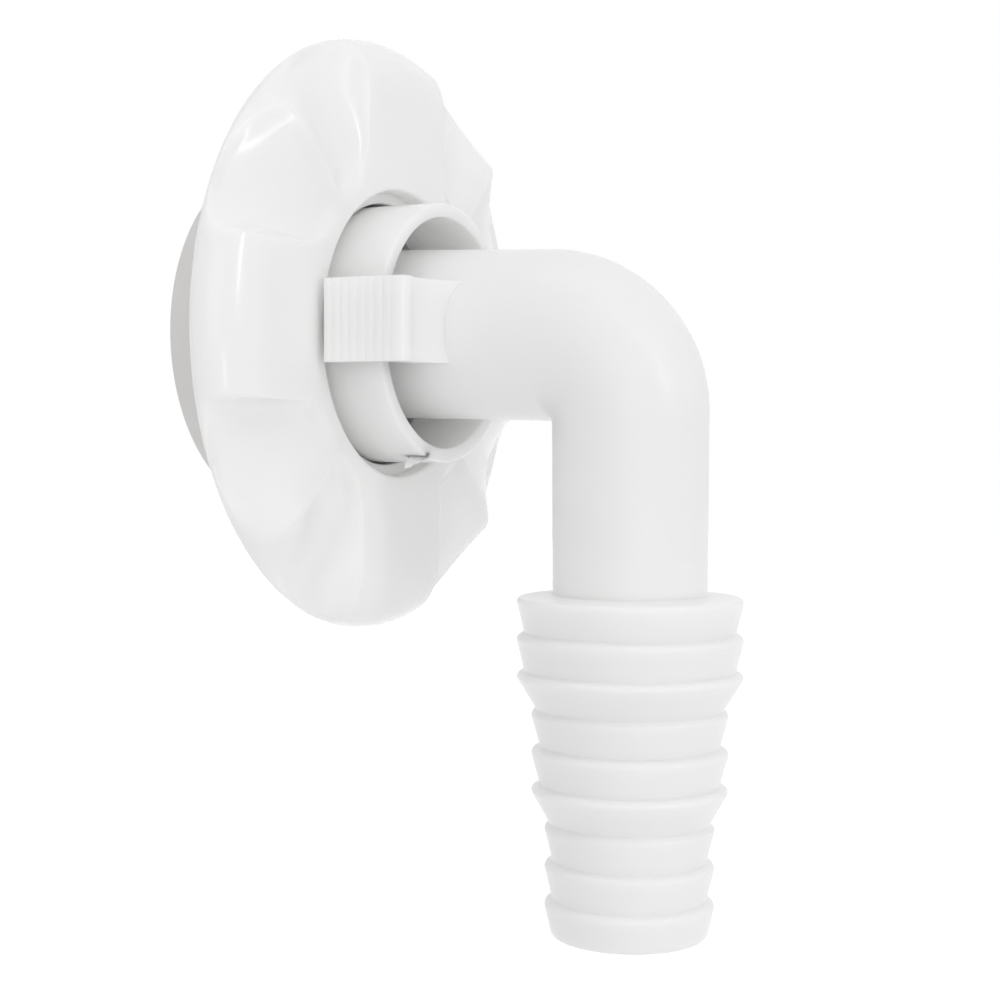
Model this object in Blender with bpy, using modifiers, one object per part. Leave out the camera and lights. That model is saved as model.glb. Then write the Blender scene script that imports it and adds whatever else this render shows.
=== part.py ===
"""Washing machine drain adapter: hand nut, hub, sealing sleeve and barbed swivel elbow.

Frame: the hub's axis is X, and the elbow leaves towards +X. Z is up, and the hose tail hangs
down. The origin is on the hub's axis, in the plane of the rear face that goes into the pipe.
"""

import math

import bmesh
import bpy
from mathutils import Matrix, Vector

MM = 0.001

# Clearances and overruns
SEAT_GAP = 0.3 * MM            # between pieces that touch
RUN_GAP = 0.35 * MM            # round pieces that turn in each other
EMBED = 0.6 * MM               # how far a rib or an arm is sunk into its own moulding
MERGE = 0.01 * MM              # distance that closes a turned surface

# Sealing sleeve
SLEEVE_WALL = 5.4 * MM
SLEEVE_LENGTH = 8.4 * MM
SLEEVE_LIP = 1.6 * MM          # wall left round the hub's flange at the rear
SLEEVE_EDGE = 0.5 * MM

# Slip washer
WASHER_WIDTH = 4.6 * MM
WASHER_THICKNESS = 1.5 * MM

# Hub
HUB_R = 15.1 * MM
HUB_WALL = 1.65 * MM
HUB_NOSE = 6.0 * MM            # stands out of the nut's face
HUB_EDGE = 0.25 * MM
FLANGE_LAND = 0.9 * MM         # cylindrical rim of the rear flange
FLANGE_CONE = 4.1 * MM         # length of the wedge in front of it
SHOULDER_X = 6.5 * MM          # stop for the spigot
OUTLET_R = 11.0 * MM
BEAD_HEIGHT = 0.7 * MM         # snap bead that keeps the spigot in
BEAD_WIDTH = 1.4 * MM

# Hand nut
NUT_HOLE_GAP = 1.7 * MM        # plain counterbore in front of the threaded bore
NUT_HOLE_DEPTH = 2.2 * MM
NUT_HEIGHT = 8.0 * MM          # collar's back end to the plane of the hole's edge
NUT_COLLAR_WALL = 2.6 * MM
NUT_R = 34.7 * MM
NUT_RIM_DROP = 4.6 * MM        # widest circle behind the plane of the hole's edge
NUT_RIM_EDGE = 0.6 * MM        # rounding of the rim behind its widest circle
NUT_CROWN = 0.3 * MM           # arms rise above the hole's edge
NUT_CROWN_R = 28.5 * MM
NUT_SKIN = 2.0 * MM
NUT_HOLE_EDGE = 0.6 * MM
NUT_TURN_DEG = -1.2            # how far the wheel is turned from upright

# Arms and thumb scoops: two scoops meet in a ridge between each two arms
NUT_ARMS = 4
ARM_HALF_WIDTH = 8.6 * MM
ARM_FLARE = 1.2 * MM           # arms widen by this at the scoops' inner ends
ARM_FLARE_RUN = 4.0 * MM
SCOOP_FROM_HOLE = 2.1 * MM     # where the scoops start to fall
SCOOP_RUN_IN = 2.6 * MM
SCOOP_DEPTH = 0.8 * MM         # below the plane of the hole's edge, at the inner end
SCOOP_RIM = 0.1 * MM           # floor in front of the widest circle, at the outer end
SCOOP_LIP = 1.2 * MM           # width of the rim left outside the scoops
SCOOP_STEEP_POWER = 0.7        # less than one: steep beside the arm, gentle up to the ridge

# Webs inside the back of the wheel, under the ridges
WEB_THICKNESS = 1.6 * MM
WEB_RECESS = 0.4 * MM          # webs end in front of the rim's back edge

# Elbow
LEG_DROP_DEG = 1.5             # the leg falls a little towards the bend
LEG_START_R = 9.9 * MM
LEG_END_R = 9.7 * MM
TAIL_AXIS_FROM_NUT = 29.4 * MM
TAIL_TOP_R = 8.7 * MM
TAIL_BASE_R = 8.6 * MM
INNER_CORNER_R = 0.35 * MM
WALL_LEG = 2.0 * MM
WALL_TAIL = 1.85 * MM

# Spigot of the elbow
HEAD_LENGTH = 7.0 * MM
HEAD_CHAMFER = 0.6 * MM
NOSE_GAP = 0.7 * MM            # spigot's end to the hub's shoulder
O_RING_SECTION = 1.5 * MM
O_RING_PLACE_SHARE = 0.46      # place of the groove along the spigot's head

# Hose tail: nine barbs in three sizes
BARB_TOP_Z = -29.9 * MM        # widest edge of the first barb
BARB_PITCH = 4.19 * MM
BARB_RISE = 0.8 * MM           # round shoulder above each edge
BARB_SIZES = 3
BARBS_PER_SIZE = 3
BARB_EDGE_R = (12.6 * MM, 10.95 * MM, 9.45 * MM)
BARB_ROOT_R = (11.75 * MM, 9.98 * MM, 8.57 * MM)
BARB_LAST_ROOT_R = (10.45 * MM, 8.95 * MM, 8.63 * MM)
BARB_SHOULDER_SHARE = 0.8      # part of a barb's step that its round shoulder has taken half way
BARB_ROOT_GAP = 0.04 * MM      # root ring above the next barb's shoulder
TAIL_LENGTH = 67.2 * MM        # hub axis to the end of the hose tail
TAIL_END_ROUND = 0.9 * MM
TAIL_END_SHARE = 0.3           # of the rounding, where its arc is cut into two facets

# Finger tabs beside the leg
TAB_GAP = 1.65 * MM            # finger tab's inner face to the hub
TAB_THICKNESS = 1.65 * MM
TAB_WIDTH = 9.2 * MM
TAB_LIFT = 0.7 * MM            # middle of the tab above the hub's axis
TAB_FROM_NUT = 0.7 * MM
TAB_LENGTH = 10.3 * MM
TAB_RIBS = 9
TAB_RIB_HEIGHT = 0.3 * MM
RIB_SHARES = ((0.25, 1.0), (0.75, 1.0), (1.0, 0.0))
BRIDGE_THICKNESS = 2.0 * MM
BRIDGE_FROM_HUB = 1.7 * MM     # back face of the tab's bridge to the hub's rim
BRIDGE_FILLET = 1.1 * MM
BRIDGE_SINK = 1.85 * MM        # bridge's root inside the leg's wall

# Facets
NUT_SIDES = 96
ELBOW_SIDES = 32
HUB_SIDES = 48
RING_SIDES = 36
BEND_STEPS = 8
SHOULDER_STEPS = 6
FACE_SHARES = (0.2, 0.4, 0.6, 0.8)
RING_SECTION_SIDES = 8
NUT_SHARP_DEG = 35.0
ELBOW_SHARP_DEG = 30.0

# Places that follow from the sizes above
SLEEVE_R = HUB_R + SEAT_GAP + SLEEVE_WALL
WASHER_R = HUB_R + SEAT_GAP + WASHER_WIDTH
NUT_HOLE_R = HUB_R + NUT_HOLE_GAP
SCOOP_INNER_R = NUT_HOLE_R + SCOOP_FROM_HOLE
NUT_QUARTER = math.radians(360.0) / NUT_ARMS
EDGE_COLUMN = NUT_QUARTER / 6          # angle of the mesh column that keeps to an arm's edge
TAB_R = HUB_R + TAB_GAP + TAB_THICKNESS
WASHER_X = SLEEVE_LENGTH + SEAT_GAP
NUT_BACK_X = WASHER_X + WASHER_THICKNESS + SEAT_GAP
NUT_FACE_X = NUT_BACK_X + NUT_HEIGHT
HUB_RIM_X = NUT_FACE_X + HUB_NOSE
HUB_BORE_R = HUB_R - HUB_WALL
HEAD_R = HUB_BORE_R - RUN_GAP
HEAD_X = SHOULDER_X + NOSE_GAP
GROOVE_WIDTH = O_RING_SECTION + 2 * SEAT_GAP
GROOVE_R = HUB_BORE_R - SEAT_GAP - O_RING_SECTION - SEAT_GAP
GROOVE_X = HEAD_X + HEAD_LENGTH * O_RING_PLACE_SHARE - GROOVE_WIDTH / 2
TAIL_X = NUT_FACE_X + TAIL_AXIS_FROM_NUT

WHITE_GLOSS = (0.86, 0.86, 0.85, 1.0)
WHITE_SATIN = (0.82, 0.82, 0.81, 1.0)
GREY_RUBBER = (0.60, 0.59, 0.58, 1.0)
BLACK_RUBBER = (0.03, 0.03, 0.03, 1.0)


def clear_scene():
    for old in list(bpy.data.objects):
        bpy.data.objects.remove(old, do_unlink=True)


def make_collection(name):
    group = bpy.data.collections.new(name)
    bpy.context.scene.collection.children.link(group)
    return group


def make_material(name, colour, roughness):
    finish = bpy.data.materials.new(name)
    finish.use_nodes = True
    shader = finish.node_tree.nodes["Principled BSDF"]
    shader.inputs["Base Color"].default_value = colour
    shader.inputs["Roughness"].default_value = roughness
    shader.inputs["Metallic"].default_value = 0.0
    return finish


def add_object(name, mesh, group, finish=None):
    piece = bpy.data.objects.new(name, mesh)
    group.objects.link(piece)
    if finish is not None:
        mesh.materials.append(finish)
    return piece


def polar(centre, radius, degrees):
    """Point of an arc in a section: (distance from the axis, height)."""
    turn = math.radians(degrees)
    return (centre[0] + radius * math.cos(turn), centre[1] + radius * math.sin(turn))


def section_mesh(name, points):
    """A closed section drawn on the +X side of the XZ plane."""
    mesh = bpy.data.meshes.new(name)
    corners = [(r, 0.0, h) for r, h in points]
    edges = [(i, (i + 1) % len(points)) for i in range(len(points))]
    mesh.from_pydata(corners, edges, [])
    return mesh


def turned(name, points, sides, group, finish):
    """A section turned round its own Z axis, which then lies along the hub's axis."""
    piece = add_object(name, section_mesh(name, points), group, finish)
    screw = piece.modifiers.new("turn", "SCREW")
    screw.steps = sides
    screw.render_steps = sides
    screw.use_merge_vertices = True
    screw.merge_threshold = MERGE
    piece.rotation_euler = (0.0, math.radians(90.0), 0.0)
    return piece


def baked(piece, group, finish):
    """The evaluated shape of a piece as a plain mesh, in place of the piece."""
    bpy.context.view_layer.update()
    graph = bpy.context.evaluated_depsgraph_get()
    mesh = bpy.data.meshes.new_from_object(piece.evaluated_get(graph))
    name = piece.name
    place = piece.matrix_world.copy()
    bpy.data.objects.remove(piece, do_unlink=True)
    mesh.materials.clear()
    solid = add_object(name, mesh, group, finish)
    solid.matrix_world = place
    return solid


def combine(piece, tool, operation):
    """Joins a tool to a piece, or cuts it away, as a live modifier."""
    change = piece.modifiers.new(tool.name, "BOOLEAN")
    change.operation = operation
    change.solver = "EXACT"
    change.object = tool
    tool.hide_render = True
    tool.display_type = "WIRE"


def plate(name, points, thickness, group):
    """A flat outline in the XZ plane, given its thickness across it."""
    mesh = bpy.data.meshes.new(name)
    mesh.from_pydata([(x, 0.0, z) for x, z in points], [], [range(len(points))])
    piece = add_object(name, mesh, group)
    wall = piece.modifiers.new("thickness", "SOLIDIFY")
    wall.thickness = thickness
    wall.offset = 0.0
    return piece


def smooth(mesh, degrees):
    mesh.shade_smooth()
    mesh.set_sharp_from_angle(angle=math.radians(degrees))


# Sealing sleeve, washer and hub: turned pieces round the hub's axis

def flange_section():
    """The wedge at the hub's rear: (distance from the axis, place along it)."""
    flange_r = SLEEVE_R - SLEEVE_LIP - SEAT_GAP
    return [(HUB_R, FLANGE_LAND + FLANGE_CONE), (flange_r, FLANGE_LAND), (flange_r, 0.0)]


def build_sleeve(group, finish):
    (cone_r, cone_x), (land_r, land_x), _ = flange_section()
    section = [
        (SLEEVE_R - SLEEVE_EDGE, SLEEVE_LENGTH),
        (SLEEVE_R, SLEEVE_LENGTH - SLEEVE_EDGE),
        (SLEEVE_R, SLEEVE_EDGE),
        (SLEEVE_R - SLEEVE_EDGE, 0.0),
        (land_r + SEAT_GAP, 0.0),
        (land_r + SEAT_GAP, land_x + SEAT_GAP),
        (cone_r + SEAT_GAP, cone_x + SEAT_GAP),
        (HUB_R + SEAT_GAP, SLEEVE_LENGTH),
    ]
    return turned("seal_sleeve", section, HUB_SIDES, group, finish)


def build_washer(group, finish):
    front = WASHER_X + WASHER_THICKNESS
    section = [
        (WASHER_R, front),
        (WASHER_R, WASHER_X),
        (HUB_R + SEAT_GAP, WASHER_X),
        (HUB_R + SEAT_GAP, front),
    ]
    return turned("slip_washer", section, HUB_SIDES, group, finish)


def build_hub(group, finish):
    bead_back = HEAD_X + HEAD_LENGTH + SEAT_GAP
    bead_front = bead_back + BEAD_WIDTH
    bead_r = HUB_BORE_R - BEAD_HEIGHT
    section = [(HUB_BORE_R + HUB_EDGE, HUB_RIM_X), (HUB_R - HUB_EDGE, HUB_RIM_X)]
    section.append((HUB_R, HUB_RIM_X - HUB_EDGE))
    section += flange_section()
    section += [
        (OUTLET_R, 0.0),
        (OUTLET_R, SHOULDER_X),
        (HUB_BORE_R, SHOULDER_X),
        (HUB_BORE_R, bead_back),
        (bead_r, bead_back + BEAD_HEIGHT),
        (HUB_BORE_R, bead_front + BEAD_HEIGHT),
        (HUB_BORE_R, HUB_RIM_X - HUB_EDGE),
    ]
    return turned("hub", section, HUB_SIDES, group, finish)


# Hand nut: a turned wheel with a hollow back, pressed in at the thumb scoops

def shoulder(inset):
    """The wheel's round shoulder, from its crown to its widest circle, so far inside it."""
    reach = NUT_R - NUT_CROWN_R - inset
    rise = NUT_RIM_DROP + NUT_CROWN - inset
    points = []
    for k in range(SHOULDER_STEPS + 1):
        turn = math.radians(90.0) * k / SHOULDER_STEPS
        height = NUT_HEIGHT - NUT_RIM_DROP + rise * math.cos(turn)
        points.append((NUT_CROWN_R + reach * math.sin(turn), height))
    return points


def nut_section():
    """The wheel's section: hole, face, shoulder and rim, then back inside to the collar."""
    bore_r = HUB_R + RUN_GAP
    collar_r = bore_r + NUT_COLLAR_WALL
    points = [
        (bore_r, 0.0),
        (bore_r, NUT_HEIGHT - NUT_HOLE_DEPTH),
        (NUT_HOLE_R, NUT_HEIGHT - NUT_HOLE_DEPTH),
    ]
    corner = (NUT_HOLE_R + NUT_HOLE_EDGE, NUT_HEIGHT - NUT_HOLE_EDGE)
    points += [polar(corner, NUT_HOLE_EDGE, turn) for turn in (180.0, 135.0, 90.0)]
    for share in FACE_SHARES:
        r = corner[0] + (NUT_CROWN_R - corner[0]) * share
        points.append((r, NUT_HEIGHT + NUT_CROWN * math.sin(math.radians(90.0) * share)))
    points += shoulder(0.0)
    edge = (NUT_R - NUT_RIM_EDGE, NUT_HEIGHT - NUT_RIM_DROP)
    points += [polar(edge, NUT_RIM_EDGE, turn) for turn in (-30.0, -60.0, -90.0)]
    points.append((NUT_R - NUT_SKIN, edge[1] - NUT_RIM_EDGE))
    points += reversed(shoulder(NUT_SKIN))
    points += [
        ((NUT_CROWN_R + collar_r) / 2, NUT_HEIGHT - NUT_SKIN + NUT_CROWN / 2),
        (collar_r, NUT_HEIGHT - NUT_SKIN),
        (collar_r, 0.0),
    ]
    return points


def eased(share):
    share = min(max(share, 0.0), 1.0)
    return share * share * (3.0 - 2.0 * share)


def arm_edge(r):
    """Half the angle that an arm takes up on the circle of radius r."""
    near = 1.0 - eased((r - SCOOP_INNER_R) / ARM_FLARE_RUN)
    return math.asin((ARM_HALF_WIDTH + ARM_FLARE * near) / r)


def from_arm(angle):
    """The angle to the middle of the nearest arm, with its sign."""
    return (angle + NUT_QUARTER / 2) % NUT_QUARTER - NUT_QUARTER / 2


def slid(r, angle):
    """The angle of a mesh column, after it is slid to keep to the arm's edge."""
    inwards = min(max((r - NUT_HOLE_R) / (SCOOP_INNER_R - NUT_HOLE_R), 0.0), 1.0)
    edge = EDGE_COLUMN + (arm_edge(max(r, SCOOP_INNER_R)) - EDGE_COLUMN) * inwards
    offset = from_arm(angle)
    away = abs(offset)
    if away <= EDGE_COLUMN:
        moved = away * edge / EDGE_COLUMN
    else:
        rest = NUT_QUARTER / 2 - EDGE_COLUMN
        moved = edge + (away - EDGE_COLUMN) * (NUT_QUARTER / 2 - edge) / rest
    return angle + math.copysign(moved, offset) - offset


def scoop_press(r, angle, height):
    """How far a point of the wheel is pressed in at its thumb scoop."""
    run = eased((r - SCOOP_INNER_R) / SCOOP_RUN_IN)
    if run == 0.0:
        return 0.0
    out = min((r - SCOOP_INNER_R) / (NUT_R - SCOOP_LIP - SCOOP_INNER_R), 1.0)
    fall = NUT_RIM_DROP - SCOOP_RIM - SCOOP_DEPTH
    floor = NUT_HEIGHT - SCOOP_DEPTH - fall * out * out
    edge = arm_edge(r)
    across = min((abs(from_arm(angle)) - edge) / (NUT_QUARTER / 2 - edge), 1.0)
    if across <= 0.0:
        return 0.0
    return max(height - floor, 0.0) * math.sin(math.pi * across ** SCOOP_STEEP_POWER) * run


def press_scoops(mesh):
    """Lowers the wheel's face into the scoops, and the skin behind it by as much."""
    for corner in mesh.vertices:
        r = math.hypot(corner.co.x, corner.co.y)
        angle = slid(r, math.atan2(corner.co.y, corner.co.x))
        behind = corner.normal.z < 0.0 and r < NUT_R - NUT_SKIN + MERGE
        skin = NUT_SKIN if behind else 0.0
        height = corner.co.z - scoop_press(r, angle, corner.co.z + skin)
        corner.co = (r * math.cos(angle), r * math.sin(angle), height)


def nut_web(name, cutters, turn):
    """A web from the collar to the rim, under one of the wheel's ridges."""
    low = NUT_HEIGHT - NUT_RIM_DROP - NUT_RIM_EDGE + WEB_RECESS
    inner = HUB_R + RUN_GAP + EMBED
    top = shoulder(NUT_SKIN - EMBED)
    points = [(inner, NUT_HEIGHT - NUT_SKIN + EMBED)] + top + [(top[-1][0], low), (inner, low)]
    web = plate(name, points, WEB_THICKNESS, cutters)
    web.matrix_world = nut_place() @ Matrix.Rotation(turn, 4, "Z")
    return web


def nut_place():
    """Stands the wheel's own frame on the hub's axis, turned as it was left."""
    upright = Matrix.Rotation(math.radians(90.0), 4, "Y")
    turn = Matrix.Rotation(math.radians(NUT_TURN_DEG), 4, "Z")
    return Matrix.Translation((NUT_BACK_X, 0.0, 0.0)) @ upright @ turn


def build_nut(group, cutters, finish):
    blank = turned("hand_nut", nut_section(), NUT_SIDES, group, finish)
    nut = baked(blank, group, finish)
    nut.matrix_world = nut_place()
    press_scoops(nut.data)
    smooth(nut.data, NUT_SHARP_DEG)
    for k in range(NUT_ARMS):
        turn = math.radians(360.0) * (k + 0.5) / NUT_ARMS
        combine(nut, nut_web(f"web_{k + 1}", cutters, turn), "UNION")
    return nut


# Elbow: rings of edges drawn out along the water's way, outside and back inside

def leg_frame(x):
    """A ring's frame on the falling leg, at a distance along the hub's axis."""
    drop = Matrix.Rotation(math.radians(LEG_DROP_DEG), 4, "Y")
    pivot = Matrix.Translation((NUT_FACE_X, 0.0, 0.0))
    along = Matrix.Translation((x - NUT_FACE_X, 0.0, 0.0))
    return pivot @ drop @ along @ Matrix.Rotation(math.radians(90.0), 4, "Y")


def head_frame(x):
    """A ring's frame on the spigot's head, which runs true in the hub."""
    return Matrix.Translation((x, 0.0, 0.0)) @ Matrix.Rotation(math.radians(90.0), 4, "Y")


def tail_frame(z):
    """A ring's frame on the upright tail, facing down."""
    return Matrix.Translation((TAIL_X, 0.0, z)) @ Matrix.Rotation(math.radians(180.0), 4, "Y")


def bend_centre():
    """Point that the bend turns about, just inside its inner corner."""
    fall = math.radians(LEG_DROP_DEG)
    x = TAIL_X - TAIL_TOP_R - INNER_CORNER_R
    below = LEG_END_R + INNER_CORNER_R
    z = (-below - (x - NUT_FACE_X) * math.sin(fall)) / math.cos(fall)
    return Vector((x, 0.0, z))


def bend_frames():
    """Rings of the bend: each frame with its outer radius."""
    centre = bend_centre()
    rings = []
    for k in range(BEND_STEPS + 1):
        share = k / BEND_STEPS
        turn = math.radians(LEG_DROP_DEG + (90.0 - LEG_DROP_DEG) * share)
        radius = LEG_END_R + (TAIL_TOP_R - LEG_END_R) * share
        out = Vector((math.sin(turn), 0.0, math.cos(turn)))
        place = centre + out * (radius + INNER_CORNER_R)
        frame = Matrix.Translation(place) @ Matrix.Rotation(math.radians(90.0) + turn, 4, "Y")
        rings.append((frame, radius))
    return rings


def spigot_rings():
    """Outer rings of the spigot's head, with the groove of the sealing ring."""
    head = [
        (HEAD_X, HEAD_R - HEAD_CHAMFER),
        (HEAD_X + HEAD_CHAMFER, HEAD_R),
        (GROOVE_X, HEAD_R),
        (GROOVE_X, GROOVE_R),
        (GROOVE_X + GROOVE_WIDTH, GROOVE_R),
        (GROOVE_X + GROOVE_WIDTH, HEAD_R),
        (HEAD_X + HEAD_LENGTH - HEAD_CHAMFER, HEAD_R),
        (HEAD_X + HEAD_LENGTH, HEAD_R - HEAD_CHAMFER),
        (HEAD_X + HEAD_LENGTH, LEG_START_R + HEAD_CHAMFER),
    ]
    rings = [(head_frame(x), r) for x, r in head]
    rings.append((leg_frame(HEAD_X + HEAD_LENGTH + HEAD_CHAMFER), LEG_START_R))
    return rings


def barb_rings():
    """Outer rings of the hose tail: shoulder, edge and taper of each barb."""
    rings = []
    last_r = TAIL_BASE_R
    for k in range(BARB_SIZES * BARBS_PER_SIZE):
        size = k // BARBS_PER_SIZE
        last_of_size = k % BARBS_PER_SIZE == BARBS_PER_SIZE - 1
        edge_r = BARB_EDGE_R[size]
        root_r = BARB_LAST_ROOT_R[size] if last_of_size else BARB_ROOT_R[size]
        edge_z = BARB_TOP_Z - k * BARB_PITCH
        step = edge_r - last_r
        rings += [
            (tail_frame(edge_z + BARB_RISE), last_r),
            (tail_frame(edge_z + BARB_RISE / 2), last_r + step * BARB_SHOULDER_SHARE),
            (tail_frame(edge_z), edge_r),
        ]
        if k + 1 < BARB_SIZES * BARBS_PER_SIZE:
            rings.append((tail_frame(edge_z - BARB_PITCH + BARB_RISE + BARB_ROOT_GAP), root_r))
        last_r = root_r
    end_z = -TAIL_LENGTH
    facet = TAIL_END_ROUND * TAIL_END_SHARE
    rings += [
        (tail_frame(end_z + TAIL_END_ROUND), last_r),
        (tail_frame(end_z + facet), last_r - facet),
        (tail_frame(end_z), last_r - TAIL_END_ROUND),
    ]
    return rings


def bore_rings():
    """Rings of the water's way, from the tail's end back to the spigot."""
    mouth = TAIL_END_ROUND / 2
    rings = [
        (tail_frame(-TAIL_LENGTH), BARB_LAST_ROOT_R[-1] - WALL_TAIL + mouth),
        (tail_frame(-TAIL_LENGTH + mouth), BARB_LAST_ROOT_R[-1] - WALL_TAIL),
    ]
    for frame, radius in reversed(bend_frames()):
        wall = WALL_TAIL + (WALL_LEG - WALL_TAIL) * (TAIL_TOP_R - radius) / (TAIL_TOP_R - LEG_END_R)
        rings.append((frame, radius - wall))
    rings.append((head_frame(HEAD_X), LEG_END_R - WALL_LEG))
    return rings


def draw_rings(name, rings, sides, group, finish):
    """Draws one ring of edges from frame to frame and closes it on itself."""
    shape = bmesh.new()
    frame, radius = rings[0]
    bmesh.ops.create_circle(shape, segments=sides, radius=radius, matrix=frame)
    edges = shape.edges[:]
    for next_frame, next_radius in rings[1:] + rings[:1]:
        grown = bmesh.ops.extrude_edge_only(shape, edges=edges)["geom"]
        corners = [item for item in grown if isinstance(item, bmesh.types.BMVert)]
        edges = [item for item in grown if isinstance(item, bmesh.types.BMEdge)]
        grow = Matrix.Scale(next_radius / radius, 4)
        step = next_frame @ grow @ frame.inverted()
        bmesh.ops.transform(shape, matrix=step, verts=corners)
        frame, radius = next_frame, next_radius
    bmesh.ops.remove_doubles(shape, verts=shape.verts[:], dist=MERGE)
    bmesh.ops.recalc_face_normals(shape, faces=shape.faces[:])
    mesh = bpy.data.meshes.new(name)
    shape.to_mesh(mesh)
    shape.free()
    return add_object(name, mesh, group, finish)


def tab_outline():
    """A finger tab and its bridge, seen along the other one: (along the hub, from its axis)."""
    back = NUT_FACE_X + TAB_FROM_NUT
    front = back + TAB_LENGTH
    bridge_back = HUB_RIM_X + BRIDGE_FROM_HUB
    bridge_front = bridge_back + BRIDGE_THICKNESS
    under = TAB_R - TAB_THICKNESS
    root = LEG_START_R - BRIDGE_SINK
    points = [
        (bridge_front + 2 * BRIDGE_FILLET, root),
        (bridge_front + BRIDGE_FILLET, LEG_START_R - BRIDGE_FILLET / 2),
        (bridge_front + BRIDGE_FILLET / 4, LEG_START_R + BRIDGE_FILLET),
        (bridge_front, under - BRIDGE_FILLET),
        (bridge_front + BRIDGE_FILLET / 2, under - BRIDGE_FILLET / 4),
        (front, under + TAB_THICKNESS / 4),
        (front, TAB_R - TAB_RIB_HEIGHT),
    ]
    pitch = TAB_LENGTH / TAB_RIBS
    for k in range(TAB_RIBS):
        for along_share, up_share in RIB_SHARES:
            reach = TAB_R - TAB_RIB_HEIGHT * (1.0 - up_share)
            points.append((front - pitch * (k + along_share), reach))
    points += [
        (back, under),
        (bridge_back - BRIDGE_FILLET, under),
        (bridge_back, under - BRIDGE_FILLET),
        (bridge_back, LEG_START_R + BRIDGE_FILLET),
        (bridge_back - BRIDGE_FILLET / 2, root),
    ]
    return points


def build_tab(name, side_deg, cutters):
    tab = plate(name, tab_outline(), TAB_WIDTH, cutters)
    turn = Matrix.Rotation(math.radians(side_deg), 4, "X")
    tab.matrix_world = Matrix.Translation((0.0, 0.0, TAB_LIFT)) @ turn
    return tab


def build_elbow(group, cutters, finish):
    rings = spigot_rings() + bend_frames() + barb_rings() + bore_rings()
    elbow = draw_rings("elbow", rings, ELBOW_SIDES, group, finish)
    smooth(elbow.data, ELBOW_SHARP_DEG)
    for name, side_deg in (("tab_near", 90.0), ("tab_far", -90.0)):
        combine(elbow, build_tab(name, side_deg, cutters), "UNION")
    return elbow


def build_o_ring(group, finish):
    """A torus in the spigot's groove."""
    bpy.ops.mesh.primitive_torus_add(
        major_segments=RING_SIDES,
        minor_segments=RING_SECTION_SIDES,
        major_radius=GROOVE_R + SEAT_GAP + O_RING_SECTION / 2,
        minor_radius=O_RING_SECTION / 2,
    )
    ring = bpy.context.object
    ring.name = "o_ring"
    ring.matrix_world = head_frame(GROOVE_X + GROOVE_WIDTH / 2)
    ring.data.materials.append(finish)
    ring.data.shade_smooth()
    for owner in list(ring.users_collection):
        owner.objects.unlink(ring)
    group.objects.link(ring)
    return ring


def main():
    clear_scene()
    group = make_collection("washing_machine_drain_adapter")
    cutters = make_collection("tools")
    gloss = make_material("gloss_white", WHITE_GLOSS, 0.22)
    satin = make_material("satin_white", WHITE_SATIN, 0.38)
    grey = make_material("grey_rubber", GREY_RUBBER, 0.6)
    black = make_material("black_rubber", BLACK_RUBBER, 0.5)
    build_sleeve(group, grey)
    build_washer(group, satin)
    build_hub(group, gloss)
    build_nut(group, cutters, gloss)
    build_elbow(group, cutters, satin)
    build_o_ring(group, black)


main()
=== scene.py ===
# %% [markdown]
# # A washing machine drain adapter
#
# This adapter pushes into a waste pipe and carries the drain hose of a washing machine. A grey
# rubber sleeve seals in the pipe. A white hand nut squeezes the sleeve. A white elbow swivels in
# the hub and hangs down as a stepped hose tail with nine barbs.
#
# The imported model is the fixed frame: every piece here is finished in place around it. The hub's
# axis is X, Z is up, and the camera looks from the near side, -Y. The adapter's sizes are in
# millimetres, and MM turns them into Blender's metres.

import math

import bmesh
import bpy
from mathutils import Matrix, Vector


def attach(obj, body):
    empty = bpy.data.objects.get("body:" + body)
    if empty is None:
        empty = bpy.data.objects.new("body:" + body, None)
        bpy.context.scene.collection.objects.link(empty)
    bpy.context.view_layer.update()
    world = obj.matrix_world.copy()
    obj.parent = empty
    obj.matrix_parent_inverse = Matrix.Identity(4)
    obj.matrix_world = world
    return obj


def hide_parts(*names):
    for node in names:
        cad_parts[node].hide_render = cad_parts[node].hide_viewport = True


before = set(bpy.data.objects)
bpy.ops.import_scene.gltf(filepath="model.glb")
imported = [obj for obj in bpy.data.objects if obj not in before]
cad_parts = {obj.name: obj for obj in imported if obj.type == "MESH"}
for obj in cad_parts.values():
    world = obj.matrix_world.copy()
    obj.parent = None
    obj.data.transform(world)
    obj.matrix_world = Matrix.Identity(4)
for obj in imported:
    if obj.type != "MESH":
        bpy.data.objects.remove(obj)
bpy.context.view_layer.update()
MM = 0.001

# %% [markdown]
# ## The camera
#
# The photograph looks along the adapter from the front right, at about the height of the bend.
# A level camera keeps the upright edges upright, as they are in the photograph. A small shift
# moves the level line up in the frame and makes room for the hanging tail. Tilting the camera
# would make room too, but the upright edges would then lean.

# %% The camera at the photograph's viewpoint
CAMERA_TURN_DEG = 28.07
CAMERA_ROLL_DEG = 0.19
CAMERA_PLACE = Vector((134.27, -192.71, -11.32)) * MM
SENSOR_WIDTH = 36.0
LENS = 68.4
LEVEL_SHIFT = -0.0697


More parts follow.
